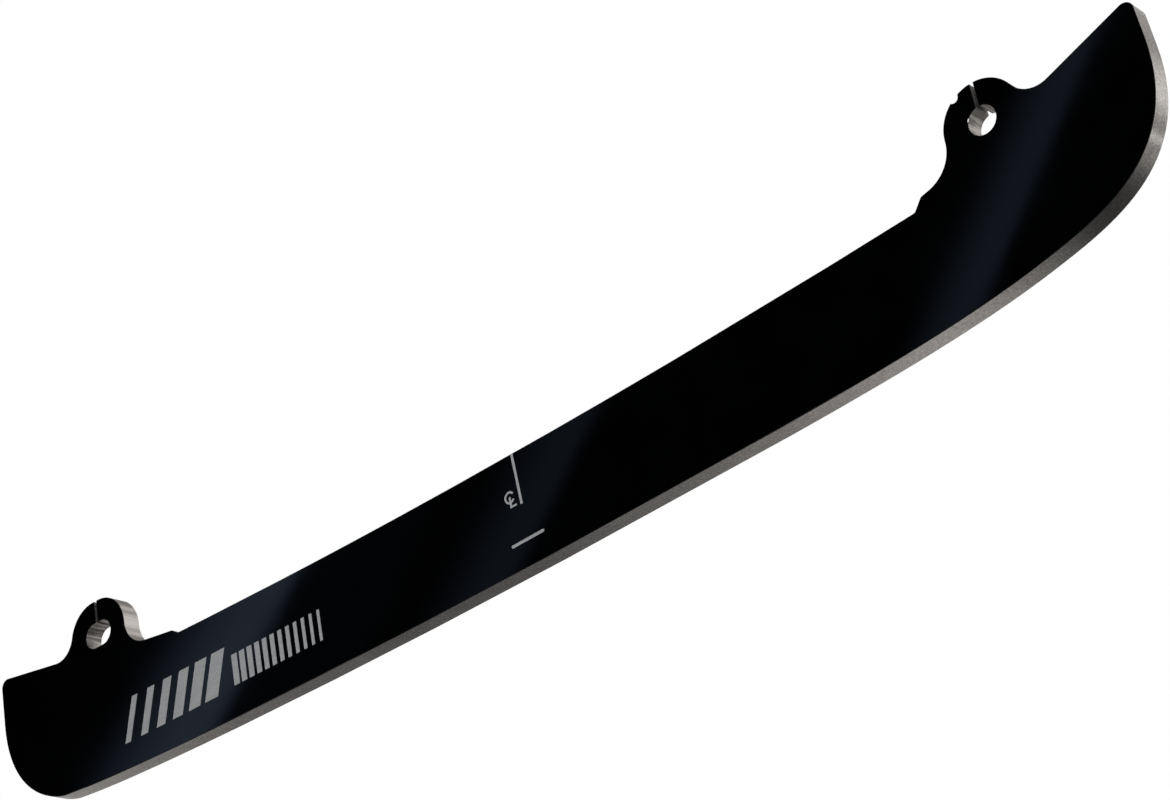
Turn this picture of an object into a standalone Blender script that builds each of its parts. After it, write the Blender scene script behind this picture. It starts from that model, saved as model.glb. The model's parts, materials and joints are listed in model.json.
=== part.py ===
# One-piece ice-skate runner: the replaceable steel blade that clips into a skate's holder.
# Frame: +X towards the toe, +Z up (the tabs point up), Y through the thickness, metres.
# The origin is under the middle of the overall length, level with the lowest point of the running edge.
import bpy
import bmesh
from math import atan2, ceil, cos, hypot, pi, radians, sin, sqrt, tan

MM = 0.001

# ---- driving dimensions, millimetres; X is counted from the heel end, Z from the running edge ----
THICKNESS = 4.0
RIM_CHAMFER = 0.1             # broken edge round both side faces
ARC_STEP = radians(6.0)       # angle between points on an arc

HEEL_CORNER_R = 1.75
HEEL_TOP_Z = 32.17            # height of the heel's top line where it would meet the heel end
HEEL_TOP_SLOPE = -0.163

TAB_R = 7.05                  # outer radius of both mounting tabs
HEEL_TAB_X, HEEL_TAB_Z = 29.9, 30.75
HEEL_TAB_STRETCH = 0.85       # half the straight length of the heel tab's oval
TOE_TAB_X, TOE_TAB_Z = 242.2, 34.5

HEEL_TAB_REAR_FILLET = 4.8
HEEL_TAB_FRONT_FILLET = 5.9
TOE_TAB_REAR_FILLET = 6.4
TOE_TAB_FRONT_FILLET = 5.0

BORE_R = 2.53                 # end radius of the heel slot, and radius of the toe bore
HEEL_BORE_X, HEEL_BORE_Z = 30.1, 30.65
TOE_BORE_X, TOE_BORE_Z = 242.3, 34.45
HEEL_SLOT_HALF = 1.1          # half the straight length of the heel slot
SLIT_WIDTH = 0.6              # saw slit from each bore up through the top of its tab
TOE_SLIT_OFFSET = -0.15
NOTCH_X, NOTCH_Z, NOTCH_R = 238.45, 40.65, 0.9

HEEL_SHELF_X, HEEL_SHELF_Z, HEEL_SHELF_SLOPE = 43.0, 24.5, -0.137
HEEL_STEP_X, HEEL_STEP_SLOPE, HEEL_STEP_R = 51.6, -0.685, 0.9
TOE_SHELF_X, TOE_SHELF_Z, TOE_SHELF_SLOPE = 229.0, 27.7, 0.228
TOE_STEP_X, TOE_STEP_SLOPE, TOE_STEP_R = 227.65, 1.2, 0.8

TOP_LOW_X, TOP_LOW_Z = 104.4, 21.62   # lowest point of the long, hollow top edge
TOP_BEND_HEEL, TOP_BEND_TOE = 2.8e-4, 2.64e-4

TOE_TOP_X, TOE_TOP_Z, TOE_TOP_SLOPE = 255.0, 35.6, 0.342
TOE_TIP_R = 1.6

TOE_FRONT = (271.45, 33.4)    # foremost point, where the toe's front line becomes its curve
TOE_FRONT_LEAN = 0.045
TOE_SWEEP_IN, TOE_SWEEP_OUT = 20.7, 11.4
ROCKER_TOE = (246.0, 7.22)
ROCKER_TOE_SLOPE = 0.211
ROCKER_MID = (149.8, 0.85)
ROCKER_MID_SLOPE = 0.028
ROCKER_HEEL = (16.65, 1.96)
ROCKER_HEEL_SLOPE = -0.102
ROCKER_TOE_REACH, ROCKER_MID_REACH_TOE = 20.0, 47.7
ROCKER_MID_REACH_HEEL, ROCKER_HEEL_REACH = 44.6, 22.5
HEEL_CURVE_TOP_Z = 22.3
HEEL_CURVE_IN, HEEL_CURVE_OUT = 4.2, 15.35

OVERALL_LENGTH = 271.48


def unit(vector):
    size = hypot(*vector)
    return vector[0] / size, vector[1] / size


def step(point, direction, distance):
    return point[0] + distance * direction[0], point[1] + distance * direction[1]


def angle_to(start, end):
    return atan2(end[1] - start[1], end[0] - start[0])


def arc(centre, radius, start, sweep):
    """Points of an arc from the angle start, turning by sweep (anticlockwise when positive)."""
    count = max(2, ceil(abs(sweep) / ARC_STEP))
    angles = [start + sweep * i / count for i in range(count + 1)]
    return [(centre[0] + radius * cos(a), centre[1] + radius * sin(a)) for a in angles]


def wrapped(angle, sense):
    """The same turn between 0 and one circle, clockwise for sense -1 and anticlockwise for sense +1."""
    return sense * ((sense * angle) % (2 * pi))


def sweep_curve(start, leave, end, arrive, count):
    """A smooth curve from start to end whose end tangents are the two given vectors."""
    handle_a = (start[0] + leave[0], start[1] + leave[1])
    handle_b = (end[0] - arrive[0], end[1] - arrive[1])
    points = []
    for i in range(1, count + 1):
        t = i / count
        weights = ((1 - t) ** 3, 3 * t * (1 - t) ** 2, 3 * t * t * (1 - t), t ** 3)
        corners = (start, handle_a, handle_b, end)
        points.append(tuple(sum(w * c[k] for w, c in zip(weights, corners)) for k in (0, 1)))
    return points


def scaled(vector, length):
    u = unit(vector)
    return u[0] * length, u[1] * length


def corner(point_a, direction_a, point_b, direction_b, radius):
    """Rounded corner between two lines, met along direction_a and left along direction_b."""
    a = unit(direction_a)
    b = unit(direction_b)
    cross = a[0] * b[1] - a[1] * b[0]
    gap = (point_b[0] - point_a[0], point_b[1] - point_a[1])
    crossing = step(point_a, a, (gap[0] * b[1] - gap[1] * b[0]) / cross)
    turn = atan2(cross, a[0] * b[0] + a[1] * b[1])
    start = step(crossing, a, -radius * tan(abs(turn) / 2))
    side = 1 if turn > 0 else -1
    centre = step(start, (-a[1], a[0]), side * radius)
    return arc(centre, radius, angle_to(centre, start), turn)


def fillet_centre(point, direction, tab_centre, fillet, before):
    """Centre of a fillet that lies on a line and touches a tab's round from outside."""
    d = unit(direction)
    base = step(point, (-d[1], d[0]), fillet)
    to_tab = (tab_centre[0] - base[0], tab_centre[1] - base[1])
    along = to_tab[0] * d[0] + to_tab[1] * d[1]
    across = to_tab[1] * d[0] - to_tab[0] * d[1]
    reach = sqrt((TAB_R + fillet) ** 2 - across ** 2)
    return step(base, d, along - reach if before else along + reach)


def tab(line_before, fillet_before, centres, fillet_after, line_after):
    """From the line before a tab, up, over its round and down to the line after it."""
    first = fillet_centre(*line_before, centres[0], fillet_before, True)
    last = fillet_centre(*line_after, centres[-1], fillet_after, False)
    floor_angle = angle_to((0, 0), unit(line_before[1])) - pi / 2
    touch = angle_to(first, centres[0])
    points = arc(first, fillet_before, floor_angle, wrapped(touch - floor_angle, 1))
    leave = angle_to(centres[-1], last)
    if len(centres) > 1:
        points += arc(centres[0], TAB_R, touch + pi, wrapped(pi / 2 - touch - pi, -1))
        points += arc(centres[-1], TAB_R, pi / 2, wrapped(leave - pi / 2, -1))
    else:
        points += arc(centres[0], TAB_R, touch + pi, wrapped(leave - touch - pi, -1))
    floor_angle = angle_to((0, 0), unit(line_after[1])) - pi / 2
    return points + arc(last, fillet_after, leave + pi, wrapped(floor_angle - leave - pi, 1))


def top_edge_z(x):
    bend = TOP_BEND_HEEL if x < TOP_LOW_X else TOP_BEND_TOE
    return TOP_LOW_Z + bend * (x - TOP_LOW_X) ** 2


def top_edge_slope(x):
    bend = TOP_BEND_HEEL if x < TOP_LOW_X else TOP_BEND_TOE
    return 2 * bend * (x - TOP_LOW_X)


def shelf_step(shelf, slope, step_x, step_slope, radius, towards_toe):
    """Small slanted step between a tab's shelf and the long top edge."""
    edge_x = step_x + (1 if towards_toe else -1)
    edge = ((edge_x, top_edge_z(edge_x)), (1, top_edge_slope(edge_x)))
    shelf_line = (shelf, (1, slope))
    middle_z = (shelf[1] + slope * (step_x - shelf[0]) + edge[0][1]) / 2
    ramp = ((step_x, middle_z), (1, step_slope))
    if towards_toe:
        return corner(*shelf_line, *ramp, radius) + corner(*ramp, *edge, radius)
    return corner(*edge, *ramp, radius) + corner(*ramp, *shelf_line, radius)


def outline():
    """The runner's side view, clockwise from the heel end."""
    heel_end = ((0.0, HEEL_CURVE_TOP_Z), (0, 1))
    heel_top = ((0.0, HEEL_TOP_Z), (1, HEEL_TOP_SLOPE))
    heel_shelf = ((HEEL_SHELF_X, HEEL_SHELF_Z), (1, HEEL_SHELF_SLOPE))
    toe_shelf = ((TOE_SHELF_X, TOE_SHELF_Z), (1, TOE_SHELF_SLOPE))
    toe_top = ((TOE_TOP_X, TOE_TOP_Z), (1, TOE_TOP_SLOPE))
    toe_front = (TOE_FRONT, (TOE_FRONT_LEAN, -1))

    points = [heel_end[0]]
    points += corner(*heel_end, *heel_top, HEEL_CORNER_R)
    heel_centres = [(HEEL_TAB_X - HEEL_TAB_STRETCH, HEEL_TAB_Z), (HEEL_TAB_X + HEEL_TAB_STRETCH, HEEL_TAB_Z)]
    points += tab(heel_top, HEEL_TAB_REAR_FILLET, heel_centres, HEEL_TAB_FRONT_FILLET, heel_shelf)
    points += shelf_step(heel_shelf[0], HEEL_SHELF_SLOPE, HEEL_STEP_X, HEEL_STEP_SLOPE, HEEL_STEP_R, True)
    long_start = HEEL_STEP_X + 4
    long_end = TOE_STEP_X - 4
    count = 36
    for i in range(count + 1):
        x = long_start + (long_end - long_start) * i / count
        points.append((x, top_edge_z(x)))
    points += shelf_step(toe_shelf[0], TOE_SHELF_SLOPE, TOE_STEP_X, TOE_STEP_SLOPE, TOE_STEP_R, False)
    points += tab(toe_shelf, TOE_TAB_REAR_FILLET, [(TOE_TAB_X, TOE_TAB_Z)], TOE_TAB_FRONT_FILLET, toe_top)
    points += corner(*toe_top, *toe_front, TOE_TIP_R)

    # Down the toe, back along the rocker and up round the heel.
    points.append(TOE_FRONT)
    toe_down = (TOE_FRONT_LEAN, -1)
    back_toe = (-1, -ROCKER_TOE_SLOPE)
    back_mid = (-1, -ROCKER_MID_SLOPE)
    back_heel = (-1, -ROCKER_HEEL_SLOPE)
    points += sweep_curve(TOE_FRONT, scaled(toe_down, TOE_SWEEP_IN),
                          ROCKER_TOE, scaled(back_toe, TOE_SWEEP_OUT), 28)
    points += sweep_curve(ROCKER_TOE, scaled(back_toe, ROCKER_TOE_REACH),
                          ROCKER_MID, scaled(back_mid, ROCKER_MID_REACH_TOE), 20)
    points += sweep_curve(ROCKER_MID, scaled(back_mid, ROCKER_MID_REACH_HEEL),
                          ROCKER_HEEL, scaled(back_heel, ROCKER_HEEL_REACH), 24)
    points += sweep_curve(ROCKER_HEEL, scaled(back_heel, HEEL_CURVE_IN),
                          heel_end[0], scaled((0, 1), HEEL_CURVE_OUT), 24)[:-1]

    cleaned = [points[0]]
    for point in points[1:]:
        if hypot(point[0] - cleaned[-1][0], point[1] - cleaned[-1][1]) > 0.05:
            cleaned.append(point)
    lowest = min(z for _, z in cleaned)
    return [(x, z - lowest) for x, z in cleaned]


def slot_outline(x, z, half, radius):
    """A slot lying along X, or a circle when half is zero."""
    right = arc((x + half, z), radius, -pi / 2, pi)
    left = arc((x - half, z), radius, pi / 2, pi)
    if half == 0:
        return right + left[1:-1]
    return right + left


def flat_plate(name, points, thickness, collection):
    """A closed plate standing in the XZ plane, made from its outline in millimetres."""
    curve = bpy.data.curves.new(name, "CURVE")
    curve.dimensions = "2D"
    curve.fill_mode = "BOTH"
    curve.extrude = thickness * MM / 2
    spline = curve.splines.new("POLY")
    spline.points.add(len(points) - 1)
    for target, (x, z) in zip(spline.points, points):
        target.co = ((x - OVERALL_LENGTH / 2) * MM, z * MM, 0.0, 1.0)
    spline.use_cyclic_u = True
    holder = bpy.data.objects.new(name + "_outline", curve)
    holder.rotation_euler = (pi / 2, 0.0, 0.0)
    collection.objects.link(holder)
    depsgraph = bpy.context.evaluated_depsgraph_get()
    mesh = bpy.data.meshes.new_from_object(holder.evaluated_get(depsgraph))
    mesh.transform(holder.matrix_world)
    bpy.data.objects.remove(holder)
    welded = bmesh.new()
    welded.from_mesh(mesh)
    bmesh.ops.remove_doubles(welded, verts=welded.verts, dist=1e-6)
    bmesh.ops.recalc_face_normals(welded, faces=welded.faces)
    welded.to_mesh(mesh)
    welded.free()
    mesh.name = name
    plate = bpy.data.objects.new(name, mesh)
    collection.objects.link(plate)
    return plate


def cut(target, cutters):
    for cutter in cutters:
        cutter.hide_render = True
        cutter.display_type = "WIRE"
        modifier = target.modifiers.new(cutter.name, "BOOLEAN")
        modifier.operation = "DIFFERENCE"
        modifier.solver = "EXACT"
        modifier.object = cutter


def break_rims(target):
    """Chamfer round both side faces and round every opening in them."""
    depsgraph = bpy.context.evaluated_depsgraph_get()
    mesh = bpy.data.meshes.new_from_object(target.evaluated_get(depsgraph))
    target.modifiers.clear()
    half = THICKNESS * MM / 2
    solid = bmesh.new()
    solid.from_mesh(mesh)
    bmesh.ops.remove_doubles(solid, verts=solid.verts, dist=2e-6)
    bmesh.ops.dissolve_limit(solid, angle_limit=radians(0.5), verts=solid.verts, edges=solid.edges)
    rims = []
    for edge in solid.edges:
        on_side = all(abs(abs(v.co.y) - half) < 1e-6 for v in edge.verts)
        if on_side and len(edge.link_faces) == 2 and edge.calc_face_angle() > radians(60):
            rims.append(edge)
    bmesh.ops.bevel(solid, geom=rims, offset=RIM_CHAMFER * MM, segments=1, affect="EDGES", profile=0.5)
    solid.to_mesh(mesh)
    solid.free()
    target.data = mesh


def steel_material():
    material = bpy.data.materials.new("black_coated_steel")
    material.use_nodes = True
    shader = material.node_tree.nodes["Principled BSDF"]
    shader.inputs["Base Color"].default_value = (0.006, 0.007, 0.010, 1.0)
    shader.inputs["Metallic"].default_value = 0.6
    shader.inputs["Roughness"].default_value = 0.22
    return material


def build():
    for item in list(bpy.data.objects):
        bpy.data.objects.remove(item, do_unlink=True)
    runner_collection = bpy.data.collections.new("skate_runner")
    cutter_collection = bpy.data.collections.new("cutters")
    bpy.context.scene.collection.children.link(runner_collection)
    bpy.context.scene.collection.children.link(cutter_collection)

    runner = flat_plate("runner_blade", outline(), THICKNESS, runner_collection)
    through = THICKNESS * 2
    tab_top = TAB_R + 2
    cutters = []
    tabs = (("heel", HEEL_BORE_X, HEEL_BORE_Z, HEEL_SLOT_HALF, 0.0),
            ("toe", TOE_BORE_X, TOE_BORE_Z, 0.0, TOE_SLIT_OFFSET))
    for name, x, z, half, offset in tabs:
        bore = slot_outline(x, z, half, BORE_R)
        left = x + offset - SLIT_WIDTH / 2
        right = x + offset + SLIT_WIDTH / 2
        slit = [(left, z), (right, z), (right, z + tab_top), (left, z + tab_top)]
        cutters.append(flat_plate(name + "_bore_cutter", bore, through, cutter_collection))
        cutters.append(flat_plate(name + "_slit_cutter", slit, through, cutter_collection))
    notch = slot_outline(NOTCH_X, NOTCH_Z, 0.0, NOTCH_R)
    cutters.append(flat_plate("notch_cutter", notch, through, cutter_collection))
    cut(runner, cutters)
    break_rims(runner)

    runner.data.materials.clear()
    runner.data.materials.append(steel_material())
    runner.data.shade_smooth()
    runner.data.set_sharp_from_angle(angle=radians(30))


build()
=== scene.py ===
"""One-piece ice-skate runner: black-coated plate, bare running edge, ring tabs and laser marks.

The frame is the CAD part's own: +X towards the toe, +Z up towards the tabs, Y through the thickness, metres.
"""

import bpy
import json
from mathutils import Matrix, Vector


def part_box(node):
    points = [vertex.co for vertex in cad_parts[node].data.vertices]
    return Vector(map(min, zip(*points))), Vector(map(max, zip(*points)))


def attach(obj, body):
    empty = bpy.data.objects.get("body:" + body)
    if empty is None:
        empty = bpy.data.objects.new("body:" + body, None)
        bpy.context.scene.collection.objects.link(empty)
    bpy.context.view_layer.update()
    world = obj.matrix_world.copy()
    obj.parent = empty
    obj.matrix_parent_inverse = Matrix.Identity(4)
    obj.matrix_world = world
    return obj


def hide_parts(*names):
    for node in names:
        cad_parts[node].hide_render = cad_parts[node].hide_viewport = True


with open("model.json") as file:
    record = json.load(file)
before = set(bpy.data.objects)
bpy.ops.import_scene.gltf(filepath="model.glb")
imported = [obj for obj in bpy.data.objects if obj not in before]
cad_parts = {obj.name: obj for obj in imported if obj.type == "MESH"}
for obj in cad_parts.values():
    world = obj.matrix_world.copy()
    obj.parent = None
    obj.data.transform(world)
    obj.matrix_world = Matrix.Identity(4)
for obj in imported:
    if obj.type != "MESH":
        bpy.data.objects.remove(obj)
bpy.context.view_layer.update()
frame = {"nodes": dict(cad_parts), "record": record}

import json
from math import cos, pi, radians, sin

import bmesh
import bpy
from mathutils import Matrix, Vector

MM = 0.001

# ---------------------------------------------------------------- sizes read from the frame
LOW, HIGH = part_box("runner_blade")
SIDE_Y = LOW.y                                  # the marked side face
HEEL_X = LOW.x
MOUNTS = {mount["name"]: Vector(mount["pos_m"]) for mount in frame["record"]["mounts"]}
BORE_LIFT = 4.75 * MM                           # bore centre above the tab's mount point
HEEL_BORE = MOUNTS["heel_tab_side"] + Vector((0.0, 0.0, BORE_LIFT))
TOE_BORE = MOUNTS["toe_tab_side"] + Vector((0.0, 0.0, BORE_LIFT))
BORE_REACH, BORE_HALF = 3.8 * MM, 2.6 * MM      # a little more than half a bore's length and height
SLIT_REACH = 0.6 * MM                           # how far a slit's walls lie from its bore's centre, at most
GROUND_TOP = 20.5 * MM                          # every wall below this height is ground
TOE_FRONT_DEPTH, HEEL_END_DEPTH = 8.0 * MM, 3.0 * MM
END_FACING = 0.55                               # least share of X in the normal of a ground end wall

# ---------------------------------------------------------------- marks on the side face
# A pair of bare numbers is a place: mm from the heel end and mm above the base.
MARK_DEPTH = 0.04 * MM
CENTRE_LINE_WIDTH = 0.54 * MM
CENTRE_LINE_TOP, CENTRE_LINE_FOOT = (139.45, 22.7), (139.84, 12.1)
SYMBOL_CENTRE = Vector((HEEL_X + 137.42 * MM, 0.0, 14.27 * MM))
SYMBOL_RADIUS, SYMBOL_STROKE = 0.97 * MM, 0.42 * MM
DASH_HEEL_END, DASH_TOE_END = (136.35, 5.33), (143.35, 5.55)
DASH_WIDTH = 0.58 * MM
WIDE_BARS = {"count": 6, "pitch": 4.75 * MM, "first_width": 1.6 * MM, "last_width": 3.6 * MM,
             "height": 8.7 * MM, "slant": 0.36}
WIDE_BARS_PLACE = (37.2, 10.25)
NARROW_BARS = {"count": 12, "pitch": 2.05 * MM, "first_width": 1.5 * MM, "last_width": 0.7 * MM,
               "height": 6.1 * MM, "slant": 0.0}
NARROW_BARS_PLACE = (66.6, 9.35)

# ---------------------------------------------------------------- camera
CAMERA_AT = Vector((0.25989, -0.33030, -0.17405))
CAMERA_AZIMUTH, CAMERA_ELEVATION, CAMERA_ROLL = radians(35.697), radians(-26.200), radians(-11.046)
CAMERA_LENS = 81.427
CAMERA_SHIFT = (-0.0090, -0.0077)

FLOOR_RADIUS = 9.0
FLOOR_GAP = 0.1 * MM
FLOOR_GLOW = 0.52
MARK_LIGHT_AT, MARK_LIGHT_SIZE, MARK_LIGHT_POWER = (0.95, -0.75, -0.05), 0.45, 9.7
SKY_POWER, SKY_ANGLE, SKY_TURN = 1.1, radians(50), (radians(-12), radians(10), 0.0)


# ================================================================ small node helpers
def shader_tree(name):
    material = bpy.data.materials.new(name)
    material.use_nodes = True
    return material, material.node_tree, material.node_tree.nodes["Principled BSDF"]


def add_node(tree, kind, label="", **values):
    node = tree.nodes.new(kind)
    node.label = label
    for key, value in values.items():
        setattr(node, key, value)
    return node


def stretched_coordinates(tree, stretch):
    """Object coordinates multiplied along each axis, so that a pattern runs long or short there."""
    place = add_node(tree, "ShaderNodeTexCoord")
    mapping = add_node(tree, "ShaderNodeMapping", "stretch")
    mapping.inputs["Scale"].default_value = stretch
    tree.links.new(place.outputs["Object"], mapping.inputs["Vector"])
    return mapping.outputs["Vector"]


def noise(tree, vector, scale, detail=3.0, roughness=0.55, label=""):
    node = add_node(tree, "ShaderNodeTexNoise", label)
    node.inputs["Scale"].default_value = scale
    node.inputs["Detail"].default_value = detail
    node.inputs["Roughness"].default_value = roughness
    tree.links.new(vector, node.inputs["Vector"])
    return node.outputs["Fac"]


def ranged(tree, value, from_low, from_high, to_low, to_high, smooth=False):
    node = add_node(tree, "ShaderNodeMapRange")
    node.interpolation_type = "SMOOTHSTEP" if smooth else "LINEAR"
    node.inputs["From Min"].default_value = from_low
    node.inputs["From Max"].default_value = from_high
    node.inputs["To Min"].default_value = to_low
    node.inputs["To Max"].default_value = to_high
    tree.links.new(value, node.inputs["Value"])
    return node.outputs["Result"]


def calc(tree, operation, first, second=None):
    """One arithmetic node; each operand is a number or another node's output."""
    node = add_node(tree, "ShaderNodeMath", operation=operation)
    for socket, value in zip(node.inputs, (first, second)):
        if value is None:
            continue
        if isinstance(value, (int, float)):
            socket.default_value = value
        else:
            tree.links.new(value, socket)
    return node.outputs["Value"]


def product(tree, *factors):
    result = factors[0]
    for factor in factors[1:]:
        result = calc(tree, "MULTIPLY", result, factor)
    return result


def added(tree, *terms):
    result = terms[0]
    for term in terms[1:]:
        result = calc(tree, "ADD", result, term)
    return result


def bump(tree, shader, height, strength, distance):
    node = add_node(tree, "ShaderNodeBump")
    node.inputs["Strength"].default_value = strength
    node.inputs["Distance"].default_value = distance
    tree.links.new(height, node.inputs["Height"])
    tree.links.new(node.outputs["Normal"], shader.inputs["Normal"])


def shade(tree, shader, pattern, span, dark, light):
    """Base colour from dark to light as the pattern passes over its span."""
    node = add_node(tree, "ShaderNodeMix", data_type="RGBA")
    node.inputs["A"].default_value = (*dark, 1.0)
    node.inputs["B"].default_value = (*light, 1.0)
    tree.links.new(ranged(tree, pattern, *span, 0.0, 1.0), node.inputs["Factor"])
    tree.links.new(node.outputs["Result"], shader.inputs["Base Color"])


def blend(tree, first, second, share):
    """Two patterns added, the first weighing share and the second the rest."""
    return added(tree, product(tree, first, share), product(tree, second, 1.0 - share))


# ================================================================ finishes
def coated_side_steel():
    """Hard black coating over a polished side face: deep, slightly blue, nearly a mirror."""
    material, tree, shader = shader_tree("black_hard_coating")
    cloud = noise(tree, stretched_coordinates(tree, (1.0, 1.0, 1.0)), 90.0, 4.0, label="coating cloud")
    lap = noise(tree, stretched_coordinates(tree, (0.03, 1.0, 1.0)), 9000.0, 2.0, label="lapping lines")
    shade(tree, shader, cloud, (0.35, 0.65), (0.0003, 0.0004, 0.0005), (0.0006, 0.0008, 0.0010))
    cloud_gloss = ranged(tree, cloud, 0.3, 0.7, 0.02, 0.035)
    lap_gloss = ranged(tree, lap, 0.3, 0.7, 0.0, 0.01)
    tree.links.new(added(tree, cloud_gloss, lap_gloss), shader.inputs["Roughness"])
    shader.inputs["Metallic"].default_value = 0.0
    shader.inputs["IOR"].default_value = 1.52
    return material


def ground_edge_steel():
    """Bare running edge as it leaves the grinder: fine speckle over faint long scratches."""
    material, tree, shader = shader_tree("ground_bare_steel")
    grain = noise(tree, stretched_coordinates(tree, (1.0, 1.0, 1.0)), 2300.0, 3.0, 0.65, "grain")
    scratch = noise(tree, stretched_coordinates(tree, (0.08, 1.0, 0.3)), 2600.0, 3.0, 0.6, "scratches")
    drift = noise(tree, stretched_coordinates(tree, (1.0, 0.4, 1.0)), 60.0, 2.0, 0.5, "drift")
    mixed = blend(tree, grain, scratch, 0.82)
    shade(tree, shader, mixed, (0.34, 0.66), (0.40, 0.387, 0.374), (0.74, 0.718, 0.696))
    tree.links.new(ranged(tree, drift, 0.3, 0.7, 0.17, 0.22), shader.inputs["Roughness"])
    shader.inputs["Metallic"].default_value = 1.0
    bump(tree, shader, mixed, 0.4, 0.00005)
    return material


def cut_wall_steel():
    """Bare wire-cut walls of the tabs and the top edge: bright, ribbed straight through the plate."""
    material, tree, shader = shader_tree("wire_cut_bare_steel")
    rib = noise(tree, stretched_coordinates(tree, (1.0, 0.02, 1.0)), 1500.0, 3.0, 0.65, "cut ribs")
    fine = noise(tree, stretched_coordinates(tree, (1.0, 0.3, 1.0)), 5200.0, 2.0, 0.6, "fine grain")
    mixed = blend(tree, rib, fine, 0.75)
    shade(tree, shader, mixed, (0.35, 0.65), (0.60, 0.57, 0.545), (0.84, 0.81, 0.78))
    tree.links.new(ranged(tree, fine, 0.3, 0.7, 0.26, 0.38), shader.inputs["Roughness"])
    shader.inputs["Metallic"].default_value = 1.0
    bump(tree, shader, mixed, 0.65, 0.00008)
    return material


def bore_wall_steel():
    """Walls of the two bores: duller than the tabs' rounds, with deeper ribs and dark patches."""
    material, tree, shader = shader_tree("ribbed_bore_steel")
    rib = noise(tree, stretched_coordinates(tree, (1.0, 0.04, 1.0)), 2000.0, 1.5, 0.6, "bore ribs")
    patch = noise(tree, stretched_coordinates(tree, (1.0, 0.6, 1.0)), 800.0, 3.0, 0.6, "patches")
    mixed = blend(tree, rib, patch, 0.7)
    shade(tree, shader, mixed, (0.42, 0.58), (0.26, 0.25, 0.24), (0.78, 0.755, 0.73))
    tree.links.new(ranged(tree, patch, 0.3, 0.7, 0.36, 0.46), shader.inputs["Roughness"])
    shader.inputs["Metallic"].default_value = 1.0
    bump(tree, shader, mixed, 1.0, 0.00015)
    return material


def kerf_painted_shade():
    """Grainy, rough walls of the two narrow slits, whose dark base colour is painted shade inside the slits.
    """
    material, tree, shader = shader_tree("dull_kerf_steel")
    grain = noise(tree, stretched_coordinates(tree, (1.0, 0.5, 1.0)), 1800.0, 3.0, 0.65, "kerf grain")
    # The dark grey base colour is painted shade of the narrow slits, laid over the grain.
    shade(tree, shader, grain, (0.36, 0.64), (0.12, 0.115, 0.11), (0.34, 0.33, 0.32))
    shader.inputs["Roughness"].default_value = 0.5
    shader.inputs["Metallic"].default_value = 0.9
    bump(tree, shader, grain, 0.7, 0.0001)
    return material


def laser_mark_finish():
    """Frosted grey floor of the laser marks, with the beam's closely spaced passes."""
    material, tree, shader = shader_tree("laser_frosted_steel")
    passes = noise(tree, stretched_coordinates(tree, (0.05, 1.0, 1.0)), 7000.0, 2.0, 0.5, "laser passes")
    frost = noise(tree, stretched_coordinates(tree, (1.0, 1.0, 1.0)), 4000.0, 2.0, 0.6, "frost")
    mixed = blend(tree, passes, frost, 0.5)
    shade(tree, shader, mixed, (0.35, 0.65), (0.40, 0.41, 0.42), (0.56, 0.57, 0.585))
    shader.inputs["Roughness"].default_value = 0.62
    shader.inputs["Metallic"].default_value = 0.1
    bump(tree, shader, mixed, 0.4, 0.00003)
    return material


FINISHES = (coated_side_steel, ground_edge_steel, cut_wall_steel, bore_wall_steel, kerf_painted_shade)


# ================================================================ mesh helpers
def new_object(name, mesh):
    made = bpy.data.objects.new(name, mesh)
    bpy.context.scene.collection.objects.link(made)
    return made


def prism_through_side(name, outline, material):
    """A thin prism whose outline (x, z) is sunk MARK_DEPTH into the marked side face."""
    solid = bmesh.new()
    front = [solid.verts.new((x, SIDE_Y - 5 * MARK_DEPTH, z)) for x, z in outline]
    face = solid.faces.new(front)
    grown = bmesh.ops.extrude_face_region(solid, geom=[face])
    moved = [item for item in grown["geom"] if isinstance(item, bmesh.types.BMVert)]
    bmesh.ops.translate(solid, verts=moved, vec=(0.0, 6 * MARK_DEPTH, 0.0))
    bmesh.ops.recalc_face_normals(solid, faces=solid.faces)
    mesh = bpy.data.meshes.new(name)
    solid.to_mesh(mesh)
    solid.free()
    mesh.materials.append(material)
    return new_object(name, mesh)


def stroke_outline(start, end, width, round_ends):
    """A straight stroke between two places on the side, in mm from the heel and mm up."""
    first = Vector((HEEL_X + start[0] * MM, start[1] * MM))
    last = Vector((HEEL_X + end[0] * MM, end[1] * MM))
    lean = (last - first).angle_signed(Vector((1.0, 0.0)))
    outline = []
    steps = 10 if round_ends else 1
    for centre, turn in ((last, lean - pi / 2), (first, lean + pi / 2)):
        for i in range(steps + 1):
            a = turn + pi * i / steps
            outline.append((centre.x + width / 2 * cos(a), centre.y + width / 2 * sin(a)))
    return outline


def bow_outline(centre, radius, stroke, start, sweep, count=24):
    """Outline of a round stroke, like an open ring."""
    outer = []
    inner = []
    for i in range(count + 1):
        a = start + sweep * i / count
        outer.append((centre.x + (radius + stroke / 2) * cos(a), centre.z + (radius + stroke / 2) * sin(a)))
        inner.append((centre.x + (radius - stroke / 2) * cos(a), centre.z + (radius - stroke / 2) * sin(a)))
    return outer + inner[::-1]


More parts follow.
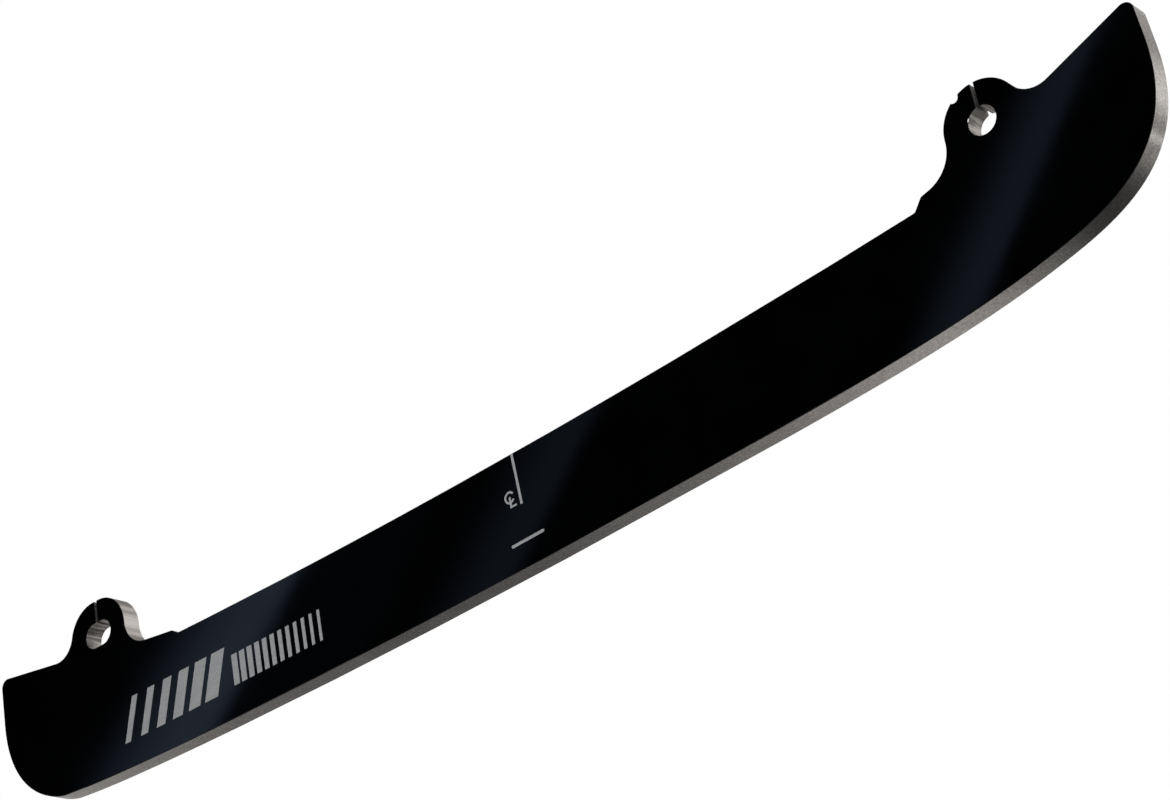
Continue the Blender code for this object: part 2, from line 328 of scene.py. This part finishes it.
# ================================================================ rows of bars, by geometry nodes
def bar_row_tree():
    """Count bars in a row along X, each wider than the last, sheared by Slant and sunk into the side face."""
    tree = bpy.data.node_groups.new("bar_row", "GeometryNodeTree")
    face = tree.interface
    kinds = {"Count": "Int", "Pitch": "Float", "First Width": "Float", "Last Width": "Float",
             "Height": "Float", "Slant": "Float", "Depth": "Float", "Start": "Vector", "Finish": "Material"}
    for name, kind in kinds.items():
        face.new_socket(name, in_out="INPUT", socket_type="NodeSocket" + kind)
    face.new_socket("Geometry", in_out="OUTPUT", socket_type="NodeSocketGeometry")
    given = tree.nodes.new("NodeGroupInput").outputs
    link = tree.links.new

    pitch = tree.nodes.new("ShaderNodeCombineXYZ")
    link(given["Pitch"], pitch.inputs["X"])
    line = tree.nodes.new("GeometryNodeMeshLine")
    link(given["Count"], line.inputs["Count"])
    link(given["Start"], line.inputs["Start Location"])
    link(pitch.outputs["Vector"], line.inputs["Offset"])

    index = tree.nodes.new("GeometryNodeInputIndex")
    last = calc(tree, "SUBTRACT", given["Count"], 1.0)
    share = calc(tree, "DIVIDE", index.outputs["Index"], last)
    growth = calc(tree, "SUBTRACT", given["Last Width"], given["First Width"])
    width = calc(tree, "ADD", given["First Width"], calc(tree, "MULTIPLY", share, growth))
    size = tree.nodes.new("ShaderNodeCombineXYZ")
    link(width, size.inputs["X"])
    link(given["Depth"], size.inputs["Y"])
    link(given["Height"], size.inputs["Z"])
    bar = tree.nodes.new("GeometryNodeMeshCube")
    bar.inputs["Size"].default_value = (1.0, 1.0, 1.0)
    placed = tree.nodes.new("GeometryNodeInstanceOnPoints")
    link(line.outputs["Mesh"], placed.inputs["Points"])
    link(bar.outputs["Mesh"], placed.inputs["Instance"])
    link(size.outputs["Vector"], placed.inputs["Scale"])
    real = tree.nodes.new("GeometryNodeRealizeInstances")
    link(placed.outputs["Instances"], real.inputs["Geometry"])

    here = tree.nodes.new("GeometryNodeInputPosition")
    parts = tree.nodes.new("ShaderNodeSeparateXYZ")
    link(here.outputs["Position"], parts.inputs["Vector"])
    push = tree.nodes.new("ShaderNodeCombineXYZ")
    link(calc(tree, "MULTIPLY", parts.outputs["Z"], given["Slant"]), push.inputs["X"])
    shear = tree.nodes.new("GeometryNodeSetPosition")
    link(real.outputs["Geometry"], shear.inputs["Geometry"])
    link(push.outputs["Vector"], shear.inputs["Offset"])
    finish = tree.nodes.new("GeometryNodeSetMaterial")
    link(shear.outputs["Geometry"], finish.inputs["Geometry"])
    link(given["Finish"], finish.inputs["Material"])
    out = tree.nodes.new("NodeGroupOutput")
    link(finish.outputs["Geometry"], out.inputs["Geometry"])
    return tree


def bar_row(name, tree, **values):
    """The bar row as a plain mesh object."""
    holder = new_object(name + "_holder", bpy.data.meshes.new(name + "_holder"))
    modifier = holder.modifiers.new("bars", "NODES")
    modifier.node_group = tree
    for item in tree.interface.items_tree:
        if item.in_out == "INPUT":
            modifier[item.identifier] = values[item.name.lower().replace(" ", "_")]
    depsgraph = bpy.context.evaluated_depsgraph_get()
    mesh = bpy.data.meshes.new_from_object(holder.evaluated_get(depsgraph))
    mesh.name = name
    bpy.data.objects.remove(holder)
    return new_object(name, mesh)


# ================================================================ the runner
def marks(material):
    """Cutters that sink the marks into the side face."""
    line = stroke_outline(CENTRE_LINE_TOP, CENTRE_LINE_FOOT, CENTRE_LINE_WIDTH, False)
    dash = stroke_outline(DASH_HEEL_END, DASH_TOE_END, DASH_WIDTH, True)
    ring = bow_outline(SYMBOL_CENTRE, SYMBOL_RADIUS, SYMBOL_STROKE, radians(30), radians(300))
    half = SYMBOL_STROKE / 2
    stem_x = SYMBOL_CENTRE.x + 0.04 * MM
    stem_top = SYMBOL_CENTRE.z + 0.1 * MM
    foot_z = SYMBOL_CENTRE.z - 1.8 * MM
    foot_end = stem_x + 1.3 * MM
    leg = [(stem_x - half, foot_z - half), (foot_end, foot_z - half), (foot_end, foot_z + half),
           (stem_x + half, foot_z + half), (stem_x + half, stem_top), (stem_x - half, stem_top)]
    outlines = {"centre_line": line, "edge_dash": dash, "symbol_ring": ring, "symbol_leg": leg}
    cutters = [prism_through_side(name, outline, material) for name, outline in outlines.items()]
    tree = bar_row_tree()
    rows = (("wide_bars", WIDE_BARS, WIDE_BARS_PLACE), ("narrow_bars", NARROW_BARS, NARROW_BARS_PLACE))
    for name, sizes, (x, z) in rows:
        start = Vector((HEEL_X + x * MM - sizes["slant"] * z * MM, SIDE_Y, z * MM))
        cutters.append(bar_row(name, tree, depth=2 * MARK_DEPTH, start=start, finish=material, **sizes))
    return cutters


def is_ground(centre, normal):
    """The running edge with the toe front and the heel end is ground. Every other wall is cut."""
    below_top_edge = centre.z < GROUND_TOP
    toe_front = centre.x > HIGH.x - TOE_FRONT_DEPTH and normal.x > END_FACING
    heel_end = centre.x < LOW.x + HEEL_END_DEPTH and normal.x < -END_FACING
    return below_top_edge or toe_front or heel_end


def wall_finish(face):
    """Place of a wall face's finish in FINISHES."""
    centre = face.calc_center_median()
    if is_ground(centre, face.normal):
        return FINISHES.index(ground_edge_steel)
    for bore in (HEEL_BORE, TOE_BORE):
        aside = abs(centre.x - bore.x)
        rise = centre.z - bore.z
        if aside < BORE_REACH and abs(rise) < BORE_HALF:
            return FINISHES.index(bore_wall_steel)
        # Slit walls take the kerf finish, whose dark colour is painted shade.
        if aside < SLIT_REACH and rise > 0 and abs(face.normal.x) > 0.9:
            return FINISHES.index(kerf_painted_shade)
    return FINISHES.index(cut_wall_steel)


def runner_body():
    """The CAD plate with its finishes, and the marks sunk into its side."""
    source = frame["nodes"]["runner_blade"].data.copy()
    solid = bmesh.new()
    solid.from_mesh(source)
    bmesh.ops.remove_doubles(solid, verts=solid.verts, dist=1e-6)
    solid.normal_update()
    for side in (-1.0, 1.0):
        bmesh.ops.dissolve_faces(solid, faces=[face for face in solid.faces if face.normal.y * side > 0.99])
    solid.normal_update()
    for face in solid.faces:
        coated = abs(face.normal.y) > 0.2           # the side faces and the broken edges round them
        face.material_index = 0 if coated else wall_finish(face)
    mesh = bpy.data.meshes.new("runner_body")
    solid.to_mesh(mesh)
    solid.free()
    bpy.data.meshes.remove(source)
    for finish in FINISHES:
        mesh.materials.append(finish())
    body = new_object("runner_body", mesh)

    cutters = marks(laser_mark_finish())
    for cutter in cutters:
        modifier = body.modifiers.new(cutter.name, "BOOLEAN")
        modifier.operation = "DIFFERENCE"
        modifier.solver = "EXACT"
        modifier.material_mode = "TRANSFER"
        modifier.object = cutter
    depsgraph = bpy.context.evaluated_depsgraph_get()
    marked = bpy.data.meshes.new_from_object(body.evaluated_get(depsgraph))
    marked.name = "runner_body"
    body.modifiers.clear()
    body.data = marked
    for cutter in cutters:
        bpy.data.objects.remove(cutter)
    for name in ("custom_normal", "sharp_edge", "sharp_face"):
        if name in marked.attributes:
            marked.attributes.remove(marked.attributes[name])
    marked.shade_smooth()
    for face in marked.polygons:
        face.use_smooth = abs(face.normal.y) < 0.9
    marked.set_sharp_from_angle(angle=radians(28))
    return body


# ================================================================ studio
def studio_floor():
    """A pale floor under the running edge, clear from below. It throws no light on the steel."""
    mesh = bpy.data.meshes.new("studio_floor")
    disc = bmesh.new()
    bmesh.ops.create_circle(disc, cap_ends=True, segments=96, radius=FLOOR_RADIUS)
    bmesh.ops.translate(disc, verts=disc.verts, vec=(0.0, 0.0, LOW.z - FLOOR_GAP))
    disc.to_mesh(mesh)
    disc.free()
    floor = new_object("studio_floor", mesh)
    material, tree, shader = shader_tree("pale_floor")
    shader.inputs["Base Color"].default_value = (0.86, 0.86, 0.86, 1.0)
    shader.inputs["Roughness"].default_value = 0.9
    shader.inputs["Specular IOR Level"].default_value = 0.0
    shader.inputs["Emission Color"].default_value = (1.0, 1.0, 1.0, 1.0)
    shader.inputs["Emission Strength"].default_value = FLOOR_GLOW
    side = add_node(tree, "ShaderNodeNewGeometry")
    clear = add_node(tree, "ShaderNodeBsdfTransparent")
    choose = add_node(tree, "ShaderNodeMixShader")
    tree.links.new(side.outputs["Backfacing"], choose.inputs["Fac"])
    tree.links.new(shader.outputs["BSDF"], choose.inputs[1])
    tree.links.new(clear.outputs["BSDF"], choose.inputs[2])
    tree.links.new(choose.outputs["Shader"], tree.nodes["Material Output"].inputs["Surface"])
    mesh.materials.append(material)
    floor.visible_glossy = False
    floor.visible_diffuse = False
    floor.visible_shadow = False


def seen_in_side(x_from_heel, z):
    """The direction that the camera sees mirrored at a place on the side face, in millimetres."""
    place = Vector((HEEL_X + x_from_heel * MM, SIDE_Y, z * MM))
    sight = (place - CAMERA_AT).normalized()
    return Vector((sight.x, -sight.y, sight.z))


# Soft boxes in front of the side face: where the clean edge of each shows at two places along the plate
# (mm from the heel and mm up), how many mm it fades over towards the heel, and how bright it is.
SIDE_BOXES = (((83.6, 20.0), (64.0, 4.0), 46.0, 0.31),
              ((157.5, 20.0), (140.0, 4.0), 27.0, 0.105),
              ((247.8, 20.0), (233.5, 4.6), 17.0, 0.17),
              ((120.0, 20.0), (104.0, 4.0), 130.0, 0.012))
# Light cards behind the plate, which its bare walls reflect: turn about the Y axis in degrees
# from +X towards +Z, and brightness.
CARD_RING = ((0, 0.32), (14, 0.60), (26, 1.05), (37, 0.08), (47, 0.09), (56, 0.03), (66, 0.02), (74, 0.10),
             (82, 0.13), (100, 0.22), (115, 0.17), (141, 0.27), (165, 0.40), (188, 0.38), (196, 0.36),
             (201, 0.36), (206, 0.17), (210, 0.07), (213, 0.045), (218, 0.085), (225, 0.19), (230, 0.42),
             (238, 0.52), (245, 0.36), (252, 0.185), (262, 0.055), (276, 0.045), (290, 0.05), (306, 0.10),
             (331, 0.33))
AMBIENT = 0.002
# The soft light in front that the camera doesn't find mirrored in the side face, and bands of it
# across the slant x - z: where each starts, its clean edge, and its brightness.
FRONT_FILL = 0.16
FILL_BANDS = ((-0.33, -0.21, 0.65), (-0.06, 0.06, 0.65), (0.30, 0.42, 0.65))
# A like band across x + z for the far side face, only where y is past REAR_BAND_Y and z below zero.
REAR_BAND = (0.36, 0.44, 1.2)
REAR_BAND_Y, REAR_BAND_Z = (0.56, 0.62), (-0.1, 0.0)
# The spans over which light changes from one part of the studio to the next, by direction.
BEHIND_Y = (-0.2, 0.0)
LOW_Z, HIGH_Z, TOE_X = (0.05, 0.22), (0.62, 0.78), (-0.2, 0.0)
# The cards shine brighter by FAR_GAIN past FAR_Y, between two turns in degrees.
FAR_Y, FAR_FROM, FAR_TO, FAR_GAIN = (0.44, 0.54), (30, 40), (76, 92), 8.5
BOX_COLOUR, CARD_COLOUR = (0.74, 0.96, 1.40), (1.0, 0.975, 0.955)
BOX_EDGE, BOX_FULL = 0.003, 0.15                # half width of a soft box's clean edge; where it is brightest
BAND_EDGE = 0.012


def grows(tree, value, span, level=1.0):
    """Smooth change from 0 to level over the span."""
    return ranged(tree, value, *span, 0.0, level, True)


def fades(tree, value, span):
    """Smooth change from 1 to 0 over the span."""
    return ranged(tree, value, *span, 1.0, 0.0, True)


def light_band(tree, value, start, edge, strength):
    """Light that grows from start and ends in a clean edge."""
    rise = grows(tree, value, (start, edge), strength)
    return product(tree, rise, fades(tree, value, (edge, edge + BAND_EDGE)))


def side_boxes(tree, direction):
    """The soft boxes that the camera sees mirrored in the side face."""
    boxes = []
    for top, bottom, fade, strength in SIDE_BOXES:
        across = seen_in_side(*top).cross(seen_in_side(*bottom)).normalized()
        if across.x < 0:
            across = -across
        dot = add_node(tree, "ShaderNodeVectorMath", operation="DOT_PRODUCT")
        tree.links.new(direction, dot.inputs[0])
        dot.inputs[1].default_value = across
        away = dot.outputs["Value"]
        start = across.dot(seen_in_side(top[0] - fade, top[1]))
        rise = grows(tree, away, (start, start * BOX_FULL), strength)
        boxes.append(product(tree, rise, fades(tree, away, (-BOX_EDGE, BOX_EDGE))))
    return added(tree, *boxes)


def card_ring(tree, share):
    """Brightness of the light cards by turn about the Y axis."""
    ramp = add_node(tree, "ShaderNodeValToRGB", "card ring")
    ramp.color_ramp.interpolation = "EASE"
    stops = list(CARD_RING) + [(360, CARD_RING[0][1])]
    elements = ramp.color_ramp.elements
    while len(elements) < len(stops):
        elements.new(0.5)
    for element, (degrees, level) in zip(elements, stops):
        element.position = degrees / 360
        element.color = (level, level, level, 1.0)
    tree.links.new(share, ramp.inputs["Fac"])
    return ramp.outputs["Color"]


def background(tree, label, colour, strength=None):
    node = add_node(tree, "ShaderNodeBackground", label)
    node.inputs["Color"].default_value = (*colour, 1.0)
    if strength is not None:
        tree.links.new(strength, node.inputs["Strength"])
    return node.outputs["Background"]


def studio_world():
    world = bpy.data.worlds.new("studio")
    bpy.context.scene.world = world
    world.use_nodes = True
    tree = world.node_tree
    tree.nodes.clear()
    link = tree.links.new
    direction = add_node(tree, "ShaderNodeTexCoord").outputs["Generated"]
    parts = add_node(tree, "ShaderNodeSeparateXYZ")
    link(direction, parts.inputs["Vector"])
    x, y, z = (parts.outputs[axis] for axis in "XYZ")

    behind = grows(tree, y, BEHIND_Y)
    front = calc(tree, "SUBTRACT", 1.0, behind)
    above_or_below = calc(tree, "MAXIMUM", fades(tree, z, LOW_Z), grows(tree, z, HIGH_Z))
    outside = calc(tree, "MAXIMUM", above_or_below, grows(tree, x, TOE_X))
    inside = calc(tree, "SUBTRACT", 1.0, outside)
    boxes = product(tree, side_boxes(tree, direction), inside, front)
    slant = calc(tree, "SUBTRACT", x, z)
    bands = added(tree, *(light_band(tree, slant, *band) for band in FILL_BANDS))
    fill = product(tree, outside, front, added(tree, bands, FRONT_FILL))

    turn = calc(tree, "ARCTAN2", z, x)
    share = calc(tree, "FRACT", calc(tree, "DIVIDE", turn, 2 * pi))
    past_toe = grows(tree, share, [degrees / 360 for degrees in FAR_FROM])
    before_top = fades(tree, share, [degrees / 360 for degrees in FAR_TO])
    far = product(tree, grows(tree, y, FAR_Y), past_toe, before_top, FAR_GAIN)
    level = product(tree, card_ring(tree, share), added(tree, far, 1.0))
    rear = product(tree, light_band(tree, added(tree, x, z), *REAR_BAND),
                   grows(tree, y, REAR_BAND_Y), fades(tree, z, REAR_BAND_Z))
    cards = product(tree, added(tree, level, rear), behind)

    both = add_node(tree, "ShaderNodeAddShader")
    link(background(tree, "soft boxes", BOX_COLOUR, boxes), both.inputs[0])
    link(background(tree, "light cards", CARD_COLOUR, added(tree, cards, fill, AMBIENT)), both.inputs[1])
    path = add_node(tree, "ShaderNodeLightPath")
    choose = add_node(tree, "ShaderNodeMixShader")
    link(path.outputs["Is Camera Ray"], choose.inputs["Fac"])
    link(both.outputs["Shader"], choose.inputs[1])
    link(background(tree, "white backdrop", (1.0, 1.0, 1.0)), choose.inputs[2])
    out = add_node(tree, "ShaderNodeOutputWorld")
    link(choose.outputs["Shader"], out.inputs["Surface"])


def soft_light(name, place, aim, size, power):
    light = bpy.data.lights.new(name, "AREA")
    light.shape = "DISK"
    light.size = size
    light.energy = power
    lamp = bpy.data.objects.new(name, light)
    lamp.location = place
    lamp.rotation_euler = (Vector(aim) - Vector(place)).to_track_quat("-Z", "Y").to_euler()
    bpy.context.scene.collection.objects.link(lamp)


def studio_lights():
    """A front light below the plate for the marks, and a wide soft sky light for the floor."""
    centre = (0.0, 0.0, 0.02)
    soft_light("mark_light", MARK_LIGHT_AT, centre, MARK_LIGHT_SIZE, MARK_LIGHT_POWER)
    sky = bpy.data.lights.new("sky_light", "SUN")
    sky.energy = SKY_POWER
    sky.angle = SKY_ANGLE
    lamp = bpy.data.objects.new("sky_light", sky)
    lamp.rotation_euler = SKY_TURN
    lamp.visible_glossy = False
    bpy.context.scene.collection.objects.link(lamp)


def camera():
    data = bpy.data.cameras.new("camera")
    data.lens = CAMERA_LENS
    data.sensor_width = 36.0
    data.shift_x, data.shift_y = CAMERA_SHIFT
    data.clip_start = 0.01
    viewer = bpy.data.objects.new("camera", data)
    turn = Matrix.Rotation(CAMERA_AZIMUTH, 4, "Z") @ Matrix.Rotation(pi / 2 - CAMERA_ELEVATION, 4, "X")
    turn = turn @ Matrix.Rotation(CAMERA_ROLL, 4, "Z")
    viewer.matrix_world = Matrix.Translation(CAMERA_AT) @ turn
    bpy.context.scene.collection.objects.link(viewer)
    bpy.context.scene.camera = viewer


camera()
body = runner_body()
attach(body, "root")
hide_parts("runner_blade")
studio_floor()
studio_world()
studio_lights()
bpy.context.scene.view_settings.view_transform = "Standard"
